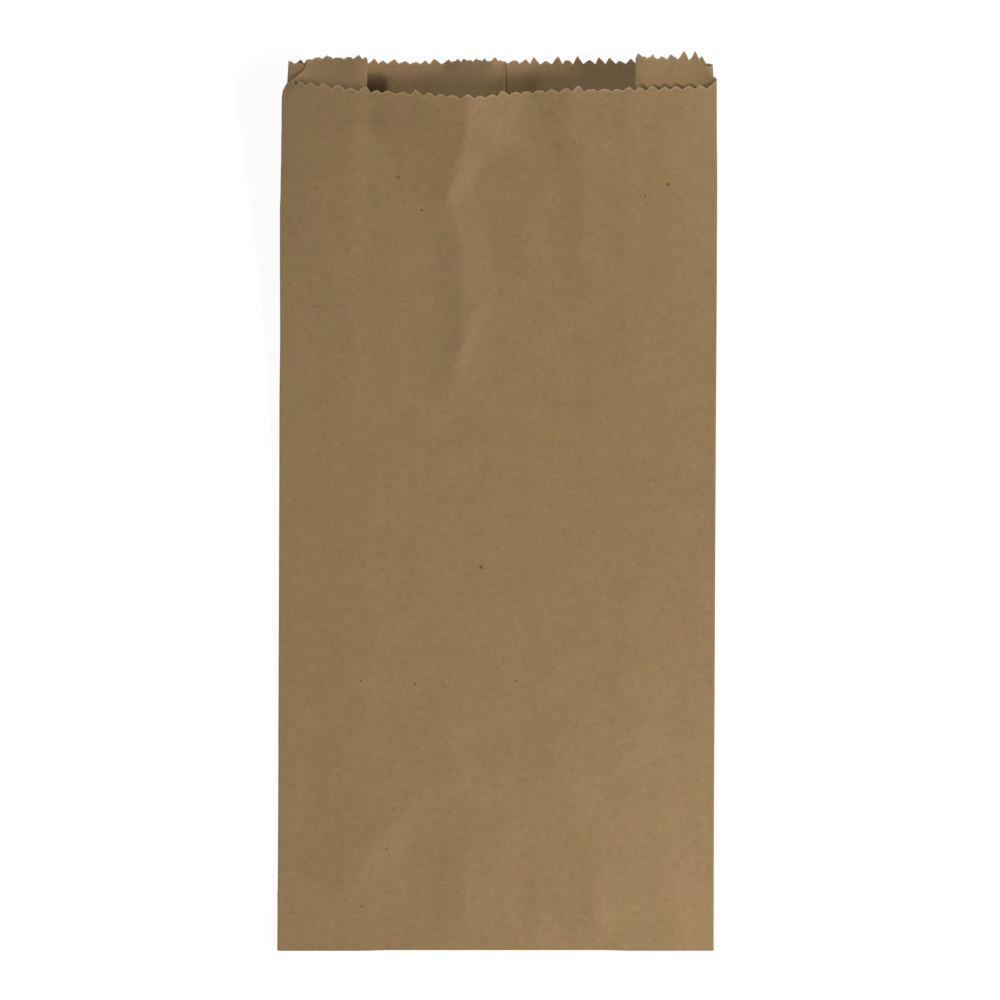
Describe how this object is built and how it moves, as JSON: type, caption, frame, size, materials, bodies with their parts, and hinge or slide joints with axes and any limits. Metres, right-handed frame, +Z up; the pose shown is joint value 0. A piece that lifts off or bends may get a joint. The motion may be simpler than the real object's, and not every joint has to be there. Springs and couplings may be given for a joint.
{
  "type": "paper lunch bag",
  "caption": "Flat gusseted bag folded from one sheet of brown kraft paper, with a saw-toothed mouth, a lapped back seam and a folded-up glued bottom, lying on its back a little open.",
  "frame": {"origin": "on the surface that the bag lies on, under the middle of the bag", "axes": "+X across the bag, +Y along it from the folded bottom to the mouth, +Z up, out of the front"},
  "size_m": [0.1306, 0.2659, 0.016],
  "materials": {
    "kraft_paper": "matt brown kraft, faintly mottled, with a slight sheen"
  },
  "bodies": {
    "root": {"paper_lunch_bag": "kraft_paper"}
  },
  "joints": []
}
